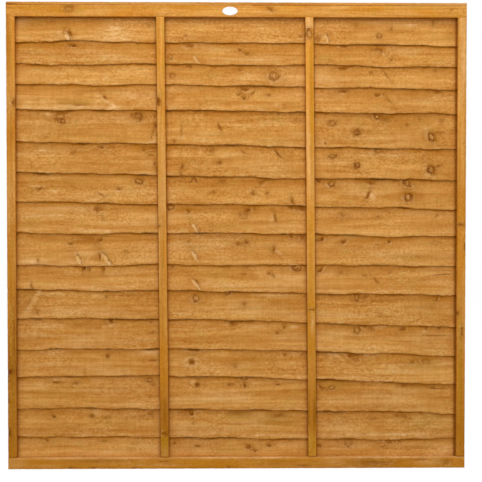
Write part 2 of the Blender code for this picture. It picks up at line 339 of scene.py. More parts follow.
        "eye": ((563, 351, 15, 9, .6), (942, 356, 12, 11, .7), (1294, 317, 16, 8, .7)),
        "crack": ((1728, 311, 36, 2.4, .7),),
        "pale": ((358, 345, 18, 8, .5), (736, 342, 9, 6, 1), (986, 338, 14, 6, .7),
            (1600, 300, 40, 10, .4), (1560, 268, 70, 14, .4), (190, 356, 50, 5, .5),
            (900, 268, 100, 10, .35)),
        "deep": ((900, 362, 60, 10, .8), (1675, 322, 70, 12, .7), (1290, 350, 80, 9, .9)),
        "olive": ((1320, 334, 60, 10, .6), (190, 300, 60, 20, .4)),
    },
    15: {
        "dot": ((178, 205, 9, 6, .8, -30), (331, 207, 10, 8, .6), (391, 201, 14, 6, .4),
            (564, 214, 11, 6, .6), (730, 213, 8, 7, 1), (716, 228, 34, 7, .8),
            (1080, 204, 20, 6, .4, 20), (738, 177, 6, 6, .4), (1560, 202, 13, 6, .5),
            (1586, 200, 9, 7, .5), (1468, 190, 18, 5, .4), (1612, 190, 9, 5, .4),
            (1652, 218, 13, 5, .7, -50)),
        "pale": ((352, 212, 12, 7, .5), (1726, 216, 28, 6, .5), (1510, 127, 290, 6, 1),
            (745, 127, 60, 5, .7), (1010, 127, 80, 5, .7), (1320, 165, 90, 24, .3),
            (110, 190, 60, 4, .4), (690, 170, 24, 26, .3)),
        "deep": ((520, 198, 90, 9, .8), (700, 222, 36, 12, .8), (920, 216, 60, 14, .8),
            (1072, 210, 60, 14, .7), (1290, 226, 90, 9, .9), (1330, 180, 90, 40, .25)),
        "olive": ((930, 204, 70, 18, .7), (1075, 188, 70, 26, .6), (1700, 190, 60, 26, .5),
            (1650, 170, 60, 30, .3)),
    },
    16: {
        "dot": ((149, 110, 10, 5, .6, -20), (378, 106, 15, 6, .45), (755, 85, 11, 5, .6),
            (662, 97, 8, 7, .6), (961, 81, 13, 8, .8), (986, 64, 10, 5, .7), (1042, 84, 10, 6, .8),
            (1243, 84, 10, 8, .7), (1525, 99, 13, 10, .5), (1501, 79, 11, 5, .5),
            (1573, 100, 10, 9, .4)),
        "eye": ((1364, 95, 16, 16, .5),),
        "pale": ((1120, 88, 60, 7, .4),),
        "deep": ((1620, 76, 80, 9, .5),),
        "olive": ((860, 66, 70, 10, .6), (500, 90, 50, 18, .4)),
    },
}

# The same for the frame's timbers, from the lower or left end along the piece and across it
FRAME_FIGURES = {
    "front_top_rail": {
        "dot": ((1045, 31, 15, 9, .6, -30), (1766, 30, 7, 6, .35)),
        "eye": ((249, 32, 19, 13, .5),),
        "pale": ((1000, 20, 60, 5, .4), (1560, 14, 120, 6, .4)),
        "deep": ((560, 8, 120, 6, .4),),
    },
    "front_bottom_rail": {
        "dot": ((248, 4, 11, 5, .7), (340, 4, 10, 5, .7), (505, 4, 11, 4, .5), (620, 30, 26, 4, .4),
            (1180, 12, 30, 4, .4), (1650, 34, 30, 4, .4), (880, 6, 9, 5, .5), (1752, 24, 16, 12, .4)),
        # The pale strips 44 and 46 mm across are a painted highlight along the rail's top arris, where
        # its top face catches the light
        "pale": ((914, 46, 1500, 2.2, .5), (230, 44, 130, 3, .6), (480, 44, 70, 3, .6),
            (860, 44, 110, 3, .6), (1060, 44, 60, 3, .6), (1540, 44, 200, 3, .5), (150, 12, 60, 4, .4),
            (620, 14, 90, 4, .4), (1690, 26, 60, 14, .4), (30, 20, 40, 24, .3), (1300, 28, 50, 14, .3)),
        "deep": ((1462, 22, 110, 30, 1), (340, 33, 140, 10, .8), (1060, 22, 70, 12, .5)),
    },
    "capping_strip": {
        # Both marks are a painted shadow in the gap where the capping's left end meets the rail
        "dot": ((14, 2, 18, 3, .6),),
        "deep": ((18, 3, 26, 5, 1),),
    },
    "front_left_edge_batten": {
        "dot": ((1416, 30, 14, 8, .7), (345, 9, 9, 16, 1), (332, 2, 12, 4, .8), (233, 3, 12, 4, .8),
            (101, 5, 14, 7, .85)),
        "pale": ((1412, 16, 4, 4, 1), (1030, 17, 150, 16, .25)),
        "deep": ((345, 14, 44, 20, 1), (560, 28, 130, 7, .9), (1290, 20, 30, 12, .5),
            (400, 26, 120, 8, .9), (420, 6, 90, 6, .8), (160, 20, 200, 20, .5),
            (1660, 14, 110, 14, .4)),
        "olive": ((300, 18, 320, 7, .8),),
    },
    "front_right_edge_batten": {
        "dot": ((931, 13, 6, 15, .7), (843, 31, 15, 4, .7), (578, 2, 9, 6, .8), (516, 20, 5, 4, .8),
            (495, 20, 8, 5, .6)),
        "pale": ((523, 15, 4, 4, 1), (1600, 20, 260, 14, .6)),
        # The long deep patch 34 mm across is painted shade along the batten's outer side; the other is
        # weathering low down
        "deep": ((110, 18, 150, 24, .5), (1500, 34, 400, 8, .5)),
        "olive": ((300, 12, 300, 8, .7),),
    },
    "front_left_inner_batten": {
        "dot": ((1421, 3, 17, 9, .95), (925, 4, 6, 5, .6), (97, 16, 8, 13, .7)),
        "pale": ((1100, 24, 160, 5, .4), (20, 16, 22, 16, .25), (1030, 16, 160, 16, .25)),
        "deep": ((178, 14, 80, 24, 1),),
        "olive": ((60, 16, 44, 18, .9),),
    },
    "front_right_inner_batten": {
        "dot": ((1692, 8, 8, 7, .7), (593, 16, 4, 17, .7)),
        "eye": ((1690, 13, 17, 13, .95),),
        "pale": ((1726, 16, 26, 16, .6), (1300, 8, 200, 5, .4), (540, 20, 40, 8, .5)),
        "deep": ((175, 16, 74, 26, .8), (260, 18, 320, 30, .5)),
        "olive": ((60, 14, 50, 10, .8),),
    },
}

# The kinds of figure that the grain flows round, and those that only change the colour
KNOTS = ("dot", "eye", "torn", "crack")
PATCHES = ("pale", "deep", "olive")

# Over how many millimetres a knot fades outside twice its size, how deep its surroundings took
# the dip, and the size from which a knot stands fully proud
KNOT_FADE = 8
KNOT_HALO_DEPTH = 0.6
FULL_KNOT = 14 * MM

# Where dark bark and the painted shadow of a wide gap show along a board's lower edge: its middle
# and half its length, in millimetres, and how dark it is
BOARD_BARK_AND_GAP_SHADOW = {
    1: ((1480, 90, .5), (1200, 20, .3), (238, 10, .6)),
    2: ((560, 30, .3), (1740, 16, .5), (930, 40, .4)),
    3: ((1000, 50, .5), (1590, 40, .4)),
    4: ((640, 20, .5), (250, 12, .5), (1160, 30, .4), (370, 16, .4)),
    5: ((300, 30, .5), (900, 40, .5), (1480, 50, .4)),
    6: ((128, 36, 1.), (544, 24, 1.), (640, 40, .4), (1230, 30, .4), (1505, 80, .9)),
    7: ((380, 30, .4), (1150, 30, .5), (1580, 24, .5)),
    8: ((564, 36, 1.), (772, 28, 1.), (1098, 13, 1.), (1240, 24, .5), (1380, 50, .4)),
    9: ((870, 40, .5), (950, 30, .5), (1490, 30, .4)),
    10: ((60, 60, .6), (740, 40, .4), (905, 25, 1.), (410, 40, .4), (1270, 60, .5)),
    11: ((110, 30, .5), (430, 40, .5), (540, 60, .4), (700, 50, .5), (920, 50, .4), (1330, 50, .5)),
    12: ((167, 6, 1.), (190, 6, 1.), (400, 12, 1.), (570, 30, 1.), (740, 30, .5), (1290, 60, .7)),
    13: ((240, 50, .5), (470, 30, .4), (760, 60, .5), (960, 60, .4), (1285, 60, .8), (1570, 60, .4)),
    14: ((327, 24, 1.), (470, 40, .5), (720, 60, .5), (1000, 50, .4), (1300, 50, .8)),
    15: ((720, 30, 1.), (850, 80, .9), (1130, 50, .4), (1370, 40, .5), (1620, 80, .5)),
    16: (),
}

# How light or deep each timber took the dip: the boards from the top down, then the frame
BOARD_TONES = (.1, -.2, .0, .0, -1.2, -.9, -.4, .5, -.2, .9, -1.0, -.1, .1, .0, -.5, 1.1)
FRAME_TONES = {
    "front_left_edge_batten": -1.3, "front_left_inner_batten": 0.2,
    "front_right_inner_batten": 3.0, "front_right_edge_batten": 0.0,
    "front_bottom_rail": 1.8, "front_top_rail": -0.2,
}

# How far a batten shows beside its place on the solids
BATTEN_SET = {"front_right_inner_batten": -4.5 * MM}

# How much higher the laps show than on the solids, at the left and the right end, and the share
# of that at the base and the top, and midway up
LAP_RISE = (0.5 * MM, 6 * MM)
LAP_RISE_SHARES = (0.4, 1.25)

# How many times narrower the dip and painted shade below the top rail are than below a lap:
# the rail casts a deep real shadow there
RAIL_LAP = 3.0


def linear(hex_colour):
    """Linear red, green and blue of an sRGB hex colour, and full alpha."""
    channels = [int(hex_colour[i:i + 2], 16) / 255 for i in (0, 2, 4)]
    return (*(c / 12.92 if c <= 0.04045 else ((c + 0.055) / 1.055) ** 2.4 for c in channels), 1.0)


def per(millimetres):
    """Repeats in a metre of a pattern that repeats in so many millimetres."""
    return 1 / (millimetres * MM)


def colour_property(name, hex_colour, description):
    return FloatVectorProperty(
        name=name, description=description, subtype="COLOR", size=4, min=0, max=1,
        default=linear(hex_colour),
    )


def number_property(name, value, least, most, description, unit="NONE"):
    return FloatProperty(
        name=name, description=description, default=value, min=least, max=most, unit=unit,
    )


def length_property(name, millimetres, least, most, description):
    return number_property(
        name, millimetres * MM, least * MM, most * MM, description, "LENGTH")


class FenceTimberFinish(bpy.types.PropertyGroup):
    """How the timbers look."""
    board_light: colour_property("Board, light", "E6A857", "Where a board took little dip")
    board_mid: colour_property("Board", "D99749", "Most of a board")
    board_deep: colour_property("Board, deep", BOARD_DEEP, "Latewood and under the laps")
    board_olive: colour_property("Board, olive", "B58833", "Weathered patches on a board")
    frame_light: colour_property("Frame, light", "EFB05E", "Where a batten took little dip")
    frame_mid: colour_property("Frame", "E29534", "Most of a batten or rail")
    frame_deep: colour_property("Frame, deep", "BE7812", "Latewood and low down")
    frame_olive: colour_property("Frame, olive", "B88818", "Sapwood strips on a batten")
    knot_dark: colour_property("Knot, dark", "783A00", "Small knots and the rings of large ones")
    knot_halo: colour_property("Knot, halo", "A26006", "Round a knot")
    knot_heart: colour_property("Knot, heart", "D29A55", "Heart of a ringed knot")
    torn_fibre: colour_property("Torn fibre", "F0BD7A", "Where the saw tore the fibres")
    # Also the painted shadow of gaps along the lower edges and just under the laps
    bark_and_shadow_dark: colour_property("Bark", "502600", "Bark left on the waney edges")
    # Both dip that pooled and painted shade, under the laps and beside the battens
    dip_pooled_and_shade: colour_property("Pooled dip", "8C4E00", "Under the laps and beside battens")
    # Both dip soaked into the lap lines and painted shade along them
    dip_soaked_and_shade: colour_property("Soaked edge", "C07604", "Along both sides of a lap")
    fibre_width: length_property("Fibre width", 6.5, 0.5, 15, "Width of the finest streaks")
    ring_width: length_property("Growth ring width", 9, 2, 40, "Width of a ring on the boards")
    saw_pitch: length_property("Saw mark pitch", 7, 1, 30, "Distance between the saw's marks")
    wane: length_property("Wane", 2.6, 0.5, 5, "How far the lower edges are rounded")
    ragged: length_property("Raggedness", 0.7, 0, 4, "Height of the bumps along the waney edges")


class FenceFittings(bpy.types.PropertyGroup):
    """Small things on the frame."""
    nail_diameter: length_property("Nail head", 5.5, 2, 12, "Diameter of a nail head")
    plate_width: length_property("Plate width", 60, 20, 120, "Width of the oval plate")
    plate_height: length_property("Plate height", 33, 10, 60, "Height of the oval plate")
    plate_place: length_property("Plate place", 886, 100, 1700, "Its middle from the left end")
    plate_white: colour_property("Plate", "F7F8F8", "Moulded plate")


class FenceStage(bpy.types.PropertyGroup):
    """Camera and light."""
    lens: number_property("Lens", 63.61, 20, 200, "Focal length on a 36 mm sensor", "CAMERA")
    key_power: number_property("Key light", 59, 0, 2000, "Lamp above the front", "POWER")
    fill_power: number_property("Fill light", 38, 0, 2000, "Lamp in front", "POWER")
    sky_light: number_property("Sky", 0.5, 0, 3, "Strength of the even light from all round")


def add_node(tree, kind, *feeds, **settings):
    """Add a shader node, set it up and feed its inputs, in their order, with values, sockets or
    nodes. A node stands for its first output, and None leaves an input alone."""
    node = tree.nodes.new("ShaderNode" + kind)
    for name, value in settings.items():
        setattr(node, name, value)
    for socket, feed in zip([s for s in node.inputs if s.enabled], feeds):
        if isinstance(feed, bpy.types.Node):
            feed = next(s for s in feed.outputs if s.enabled)
        if isinstance(feed, bpy.types.NodeSocket):
            tree.links.new(feed, socket)
        elif feed is not None:
            socket.default_value = feed
    return node


def new_material(name, constants):
    """A material with a Principled shader that has these constants, its tree and that shader."""
    material = bpy.data.materials.new(name)
    material.use_nodes = True
    tree = material.node_tree
    shader = tree.nodes["Principled BSDF"]
    for socket, value in constants.items():
        shader.inputs[socket].default_value = value
    return material, tree, shader


def sawn_timber(name, timber, finish, band_width, coarseness, weathering):
    """Dip-treated sawn softwood: a matt, thinly stained face with long fibre streaks, wide growth
    rings, faint marks across the grain from the saw, and knots that the grain flows round.

    It reads the timber's own attributes: grain (along, across, into the wood), figure (place
    within the nearest knot, in its own size), kind (how far that is a dark knot, a ringed one
    or a torn one), patch (pale, deep, olive), marks (above the lower edge, below the lap, tone)
    and one of darks (bark on the edge with the painted shadow of gaps, painted shade beside a
    batten and on its sides, a fine split)."""
    light, mid, deep, olive = (
        getattr(finish, f"{timber}_{shade}") for shade in ("light", "mid", "deep", "olive"))
    torn_fibre, knot_dark, knot_halo = finish.torn_fibre, finish.knot_dark, finish.knot_halo
    dip_pooled_and_shade, dip_soaked_and_shade, bark_and_shadow_dark = finish.dip_pooled_and_shade, finish.dip_soaked_and_shade, finish.bark_and_shadow_dark
    material, tree, shader = new_material(name, {"IOR": 1.45, "Specular IOR Level": 0.1})

    def add(kind, *feeds, **settings):
        return add_node(tree, kind, *feeds, **settings)

    # All that the colour and the relief follow, by name, first what the attributes hold
    seen = {}
    for attribute, parts in {
        "kind": ("dark", "eye", "torn"),
        "patch": ("pale_patch", "deep_patch", "olive_patch"),
        "marks": ("above_edge", "below_lap", "tone"),
        # The last holds bark with the painted shadow of gaps, painted shade by the battens, and splits
        "stain": ("bark", "pooled", "crack"),
    }.items():
        vector = add("Attribute", attribute_name=attribute).outputs["Vector"]
        seen.update(zip(parts, add("SeparateXYZ", vector).outputs))
    grain, figure = (
        add("Attribute", attribute_name=attribute).outputs["Vector"]
        for attribute in ("grain", "figure"))
    seen["height"] = add("SeparateXYZ", add("TexCoord").outputs["Object"]).outputs[2]

    # Each pattern's repeat along the grain, across it and into the wood, in millimetres, and its
    # detail. The real fibres are finer than the render can show, so they are drawn just wide
    # enough to see.
    fibre = finish.fibre_width / MM
    hill_width = 90
    for pattern, (length, width, depth, detail) in {
        "fibre": (150, fibre, fibre * 3, 2),
        "streak": (300, 15, 30, 3),
        "band": (700, band_width, 70, 3),
        "hill": (1200, hill_width, 120, 1),
        "mottle": (44, 24, 30, 3),
        "speckle": (10, 7.5, 9, 3),
        "blotch": (240, 80, 160, 3),
        "saw": (finish.saw_pitch / MM, 230, 300, 1),
        "sawn": (210, 120, 200, 1),
        "lap": (95, 400, 400, 2),
        "dry": (330, 50, 200, 2),
        "tear": (26, 8, 11, 3),
    }.items():
        stretched = add("VectorMath", grain, (per(length), per(width), per(depth)),
                        operation="MULTIPLY")
        seen[pattern] = add("TexNoise", stretched, 1.0, detail, 0.55)

    # Rings are lines of equal height on a smooth hill, as a saw leaves them on a flat face
    ring_phase = add("Math", seen["hill"], hill_width / (finish.ring_width / MM) * math.tau,
                     operation="MULTIPLY")
    seen["ring_wave"] = add("Math", ring_phase, operation="SINE")

    # Place within the nearest knot, with an outline that wanders
    wander = add("VectorMath", grain, (per(11), per(9), per(20)), operation="MULTIPLY")
    wander = add("TexNoise", wander, 1.0, 4.0, 0.7).outputs["Color"]
    wander = add("VectorMath", wander, (0.5, 0.5, 0.5), operation="SUBTRACT")
    within = add("VectorMath", wander, (2.7, 2.7, 0.0), figure, operation="MULTIPLY_ADD")
    seen["reach"] = add("VectorMath", within, operation="LENGTH").outputs["Value"]
    seen["side"] = add("SeparateXYZ", within).outputs[1]

    # Shares that follow one of these: what they follow, its values where they start and end and,
    # where they don't run from 0 to 1, the shares there
    straight = {
        "broken": ("tear", 0.38, 0.56, 0.15, 1),
        "lap_depth": ("blotch", 0.3, 0.7, 70 * MM, 26 * MM),
        # Along a lap some stretches are darker than others, both in the dip and in the painted shade
        "wet": ("lap", 0.47, 0.62),
        "damp": ("lap", 0.40, 0.56, 0.05, 1),
        # Along the lap lines: shares of dip and painted shade, below a lap and above a lower edge
        "deep_lap": ("below_lap", 9 * MM, 0),
        "soaked_edge": ("above_edge", 11 * MM, 0),
        "stained_lap": ("below_lap", 26 * MM, 0),
        "stain_here": ("tear", 0.4, 0.6, 0.3, 1),
        "lap_streaks": ("streak", 0.3, 0.65, 0.5, 1),
        "smears": ("streak", 0.32, 0.6, 0.35, 1),
        "dried": ("dry", 0.5, 0.66, 0, coarseness),
        "low_down": ("height", BASE + 0.8 * PANEL_HEIGHT, BASE, 0, weathering),
        "blotched": ("blotch", 0.40, 0.62, 0, 0.76),
        "banded": ("band", 0.46, 0.64, 0, 0.72),
        "mottled": ("mottle", 0.52, 0.72),
        "dark_fibres": ("fibre", 0.54, 0.72),
        "fibres_here": ("blotch", 0.42, 0.6, 0.15, 1),
        "tears_inside": ("sawn", 0.5, 0.66, 0, 0.16),
        "saw_lines": ("saw", 0.3, 0.7, -1, 1),
        "saw_here": ("sawn", 0.58, 0.36),
        "speckled": ("speckle", 0.3, 0.7, -1, 1),
        "rough_here": ("sawn", 0.4, 0.62, 0.1 * coarseness, 0.25 * coarseness),
        "roughness": ("streak", 0.3, 0.7, 0.66, 0.8),
    }
    smooth = {
        "rings": ("ring_wave", -0.5, 1),
        "tears": ("tear", 0.44, 0.62),
        "pale_here": ("tear", 0.30, 0.52, 0.25, 1),
        "near_edge": ("above_edge", 30 * MM, 4 * MM),
        # Below a lap: shares of dip and painted shade
        "under_lap": ("below_lap", "lap_depth", 2 * MM),
        "close_lap": ("below_lap", 14 * MM, 2 * MM),
        "dot": ("reach", 1.3, 0.2),
        "halo": ("reach", 2.3, 0.5),
        "heart": ("reach", 0.7, 0.4),
        "pith": ("reach", 0.36, 0.16),
        "inside": ("reach", 1.35, 0.85),
        "off_heart": ("reach", 0.28, 0.62),
        "rim": ("reach", 0.5, 0.9),
        "split": ("reach", 1.6, 0.4),
        "beyond": ("reach", 0.85, 1.2),
        "fades": ("reach", 2.1, 1.4),
        "shaded_side": ("side", -0.25, 0.7),
        "lit_side": ("side", -0.25, 0.7, 1, 0),
    }
    for interpolation, shares in (("LINEAR", straight), ("SMOOTHSTEP", smooth)):
        for part, (source, start, end, *ends) in shares.items():
            low, high = ends or (0, 1)
            seen[part] = add("MapRange", seen[source], seen.get(start, start), end, low, high,
                             interpolation_type=interpolation)
    for part, (operation, *feeds) in {
        "any_knot": ("MAXIMUM", "dark", "eye"),
        "smeared": ("MULTIPLY", "smears", "deep_patch"),
        "gathered": ("POWER", "smeared", 2.5),
        "torn_share": ("MULTIPLY_ADD", "near_edge", 0.22, "tears_inside"),
        "torn_face": ("MULTIPLY", "tears", "torn_share"),
        "saw_marks": ("MULTIPLY", "saw_lines", "saw_here"),
    }.items():
        feeds = [seen.get(feed, feed) for feed in feeds]
        seen[part] = add("Math", *feeds, operation=operation)

    # Each layer of colour over the last, from the ground to the knots: its strength, its colour
    # and the shares that it is laid on by
    colour = mid
    for strength, layer, *shares in (
        (1.0, light, "blotched"),
        (1.0, deep, "banded"),
        (0.22, deep, "rings"),
        (0.45, olive, "mottled"),
        (0.24, torn_fibre, "dried"),
        # Below each lap: partly dip and weathering, partly painted shade from the board above
        (0.52, deep, "under_lap", "lap_streaks"),
        (1.0, deep, "low_down"),
        (0.75, olive, "olive_patch"),
        (0.70, knot_halo, "smeared"),
        (0.55, dip_pooled_and_shade, "gathered"),
        (0.30, dip_pooled_and_shade, "dark_fibres", "fibres_here"),
        # Along each lap line, on the board below: partly dip that pooled and soaked, partly painted
        # shade
        (0.34, dip_pooled_and_shade, "stained_lap", "stain_here"),
        (0.70, dip_soaked_and_shade, "close_lap", "damp"),
        (0.88, dip_pooled_and_shade, "deep_lap", "wet"),
        # Lighter along the lower edge: partly its paler fibres, partly a painted highlight where the
        # edge stands out into the light
        (0.12, light, "near_edge"),
        # Along the lower edge above the lap line: partly soaked dip, partly painted shade
        (0.50, dip_soaked_and_shade, "soaked_edge", "damp"),
        (0.80, torn_fibre, "torn_face"),
        (0.82, torn_fibre, "pale_patch", "pale_here"),
        (0.74, knot_halo, "any_knot", "halo"),
        # Torn fibres with a painted highlight on the lit, lower side just outside a knot
        (0.35, torn_fibre, "any_knot", "beyond", "fades", "broken", "lit_side"),
        (0.72, knot_dark, "dark", "dot"),
        (0.75, finish.knot_heart, "eye", "heart"),
        (0.82, knot_dark, "eye", "inside", "off_heart", "broken"),
        (0.30, knot_halo, "eye", "pith"),
        (0.85, torn_fibre, "torn", "inside"),
        # Painted shade on the upper, shaded side of a torn knot's rim
        (0.90, knot_dark, "torn", "inside", "rim", "shaded_side"),
        (0.80, bark_and_shadow_dark, "crack", "split"),
        # Painted shade beside the battens and on their narrow sides, and a painted shadow by the last
        # batten
        (0.90, dip_pooled_and_shade, "pooled"),
        # Bark on the lower edges, with the painted shadow of gaps on them and just below them
        (0.85, bark_and_shadow_dark, "bark"),
    ):
        laid = strength
        for share in shares:
            laid = add("Math", seen[share], laid, operation="MULTIPLY", use_clamp=True)
        colour = add("Mix", laid, colour, layer, data_type="RGBA")

    # Small changes of brightness, roughest where the saw tore at the face
    bright = 1.0
    for pattern, swing in (("fibre", 0.09), ("streak", 0.13), ("mottle", 0.115), ("band", 0.11)):
        swing = swing * coarseness
        change = add("MapRange", seen[pattern], 0.3, 0.7, -swing, swing)
        bright = add("Math", bright, change, operation="ADD")
    for part, swing in (("speckled", seen["rough_here"]), ("saw_marks", 0.05), ("tone", 0.06)):
        bright = add("Math", seen[part], swing, bright, operation="MULTIPLY_ADD")
    # More dip takes up blue much faster than red, so the darker it gets the warmer it looks
    bright = add("CombineXYZ", bright, bright, bright)
    bright = add("VectorMath", bright, (0.7, 1.05, 2.1), operation="POWER")
    colour = add("VectorMath", colour, bright, operation="MULTIPLY")
    tree.links.new(colour.outputs[0], shader.inputs["Base Color"])

    # Relief in millimetres: how far the fibres, rings, tears and saw marks stand proud
    relief = 0.0
    for part, height in (("fibre", 0.8), ("streak", 0.8), ("speckle", 0.6), ("rings", 0.12),
                         ("saw_marks", 0.15), ("torn_face", 0.5)):
        relief = add("Math", seen[part], height * MM, relief, operation="MULTIPLY_ADD")
    bump = add("Bump", 1.0, 1.0, None, relief)
    tree.links.new(bump.outputs["Normal"], shader.inputs["Normal"])
    tree.links.new(seen["roughness"].outputs[0], shader.inputs["Roughness"])
    return material


def spotted(name, constants, spot_width, detail, ramp, ground, spots):
    """A material of one colour with small soft spots of another."""
    material, tree, shader = new_material(name, constants)
    place = add_node(tree, "TexCoord").outputs["Object"]
    noise = add_node(tree, "TexNoise", place, per(spot_width), detail)
    share = add_node(tree, "MapRange", noise, *ramp)
    mix = add_node(tree, "Mix", share, ground, spots, data_type="RGBA")
    tree.links.new(mix.outputs[2], shader.inputs["Base Color"])
    return material


def moulded_abs(name, colour):
    """White moulded ABS: smooth and slightly glossy, a little dusty from the yard."""
    return spotted(name, {"Roughness": 0.38, "IOR": 1.53}, 9, 4, (0.4, 0.8, 0, 0.22),
                   colour, linear(PLATE_DUST))


def dull_galvanising(name):
    """Galvanised nail heads that went through the dip with the panel, so they are brown and dull."""
    return spotted(name, {"Roughness": 0.55, "Metallic": 0.35}, 1.5, 3, (0, 1, 0, 1),
                   linear(NAIL_DULL), linear(BOARD_DEEP))


def new_mesh(bm, name):
    """A mesh with the shape of a bmesh, which is freed."""
    mesh = bpy.data.meshes.new(name)
    bm.to_mesh(mesh)
    bm.free()
    return mesh


def thicken(bm, depth):
    """Make a slab of a flat sheet: a second sheet, moved along Z, and the sides between them."""
    grown = bmesh.ops.extrude_face_region(bm, geom=bm.faces[:], use_keep_orig=True)
    moved = [part for part in grown["geom"] if isinstance(part, bmesh.types.BMVert)]
    bmesh.ops.translate(bm, vec=(0, 0, depth), verts=moved)


def mesh_points(mesh):
    """The places of a mesh's vertices, one row each."""
    points = np.empty(len(mesh.vertices) * 3)
    mesh.vertices.foreach_get("co", points)
    return points.reshape(-1, 3)


def node_points(name):
    """The places of a node's vertices, moved by as much as its piece is."""
    return mesh_points(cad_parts[name].data) + (BATTEN_SET.get(name, 0), 0, 0)


def foot_and_head(points):
    """The lower and the upper half of a timber's points."""
    middle = points[:, 2].mean()
    return points[points[:, 2] < middle], points[points[:, 2] > middle]


def swell(places, unevenness, seed):
    """A smooth seeded ripple between about -1 and 1 along a timber."""
    lengths, apart = WAVES[unevenness]
    chance = random.Random(seed + apart)
    total = 0
    for length in lengths:
        total = total + np.sin(math.tau * (places / length + chance.random()))
    return total / len(lengths) ** 0.5


def fading(distance, reach, start=1.0):
    """A share from 1 to 0 that falls by 1 over the reach, from a start that may lie above 1."""
    return np.clip(start - distance / reach, 0, 1)


def set_vectors(mesh, name, *columns):
    """Store one vector for each vertex of a mesh."""
    layer = mesh.attributes.new(name, "FLOAT_VECTOR", "POINT")
    layer.data.foreach_set("vector", np.stack(columns, axis=1).astype(np.float32).ravel())


def set_figures(mesh, along, across, figures):
    """Store each vertex's place within its nearest knot, the kind of that knot and the patches
    of colour that it lies in. Gives back how far the knots push the grain aside and lift the
    face, and how far a vertex lies in a split."""
    count = len(along)
    nearest = np.full(count, np.inf)
    place = np.full((count, 2), FAR)
    kind = np.zeros((count, len(KNOTS)))
    patch = np.zeros((count, len(PATCHES)))
    bend = np.zeros(count)
    rise = np.zeros(count)
    listed = ((what, *figure) for what, group in figures.items() for figure in group)
    for what, x, z, half_length, half_width, strength, *turned in listed:
        turn = math.radians(turned[0] if turned else 0)
        cosine, sine = math.cos(turn), math.sin(turn)
        du = along - x * MM
        dv = across - z * MM
        p = (du * cosine + dv * sine) / (half_length * MM)
        q = (dv * cosine - du * sine) / (half_width * MM)
        reach = np.hypot(p, q)
        if what in PATCHES:
            patch[:, PATCHES.index(what)] += strength * np.exp(-reach ** 2)
            continue
        closer = reach < nearest
        nearest = np.where(closer, reach, nearest)
        place[closer] = np.stack((p, q), axis=1)[closer]
        # From twice its own size outwards a knot fades within a few millimetres
        fade = fading(reach - 2, KNOT_FADE / min(half_length, half_width)) * strength
        kind[closer] = 0
        kind[closer, KNOTS.index(what)] = fade[closer]
        if what != "crack":
            size = math.sqrt(half_length * half_width) * MM
            halo = (p / 3) ** 2 + (q / 2) ** 2
            patch[:, PATCHES.index("deep")] += KNOT_HALO_DEPTH * strength * np.exp(-halo)
            # The grain runs round the knot in a long eye, and the face rises over it
            bend += dv * strength / (1 + (du / size / 2.8) ** 2 + (dv / size) ** 2)
            rise += strength * np.exp(-(reach / 1.3) ** 2) * min(size / FULL_KNOT, 1)
    set_vectors(mesh, "figure", place[:, 0], place[:, 1], np.zeros(count))
    set_vectors(mesh, "kind", *kind[:, :3].T)
    set_vectors(mesh, "patch", *np.clip(patch, 0, 1).T)
    return bend, rise, kind[:, KNOTS.index("crack")]


def finish_piece(name, mesh, material, slot, *nodes):
    """Turn a finished mesh into a piece of the panel that stands for its CAD nodes."""
    mesh.materials.append(material)
    mesh.shade_smooth()
    mesh.set_sharp_from_angle(angle=math.radians(40))
    piece = bpy.data.objects.new(name, mesh)
    bpy.context.scene.collection.objects.link(piece)
    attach(piece, "root")
    if nodes:
        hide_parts(*nodes)
    return piece


def lap_rise(x, z):
    """How far a place on the boards sits above its place on the solids."""
    at_left, at_right = LAP_RISE
    at_ends, midway = LAP_RISE_SHARES
    share_along = (x - LEFT) / PANEL_WIDTH
    share_up = (z - BASE) / PANEL_HEIGHT
    share = at_ends + (midway - at_ends) * 4 * share_up * (1 - share_up)
    return (at_left + (at_right - at_left) * share_along) * share


class BoardOutline:
    """A board's lower and upper edge along its length, and how it leans, read from its node."""

    def __init__(self, number):
        self.number = number
        self.node = f"lap_board_{number:02d}"
        points = node_points(self.node)
        stations = np.round(points[:, 0], 4)
        self.stations = np.unique(stations)
        columns = [points[stations == x] for x in self.stations]
        self.lower = np.array([column[:, 2].min() for column in columns])
        self.upper = np.array([column[:, 2].max() for column in columns])
        first = columns[0]
        foot = first[first[:, 2] < self.lower[0] + MM]
        head = first[first[:, 2] > self.upper[0] - MM]
        self.thickness = head[:, 1].max() - head[:, 1].min()
        self.front = foot[:, 1].max() - self.thickness
        self.lean = head[:, 1].min() - self.front
        self.left = self.stations[0]
        self.length = self.stations[-1] - self.stations[0]

    def lower_at(self, x, ragged):
        """The lower edge with the bumps and chips of its wane, which are strongest where the
        edge is rough."""
        rough = np.clip(swell(x, "rough stretches", self.number) * 0.8 + 0.2, 0, 1)
        bumps = swell(x, "edge bumps", self.number) * (0.35 + rough)
        chips = swell(x, "edge chips", self.number) * (0.15 + 0.8 * rough)
        edge = np.interp(x, self.stations, self.lower)
        return edge + lap_rise(x, edge) + ragged * (bumps + chips)

    def upper_at(self, x):
        edge = np.interp(x, self.stations, self.upper)
        return edge + UPPER_RIPPLE * swell(x, "upper edge", self.number)

    def bark_and_gap_shadow_at(self, x):
        """How dark the lower edge is, 0 to 1: specks of bark all along, and more where bark and the
        painted shadow of a gap are listed, fading out past both ends."""
        bark = BARK_SPECKS * np.clip(swell(x, "bark", self.number), 0, 1)
        for middle, half, dark in BOARD_BARK_AND_GAP_SHADOW[self.number]:
            bark = bark + dark * fading(np.abs(x - LEFT - middle * MM), half * MM, 1.4)
        return np.clip(bark, 0, 1)


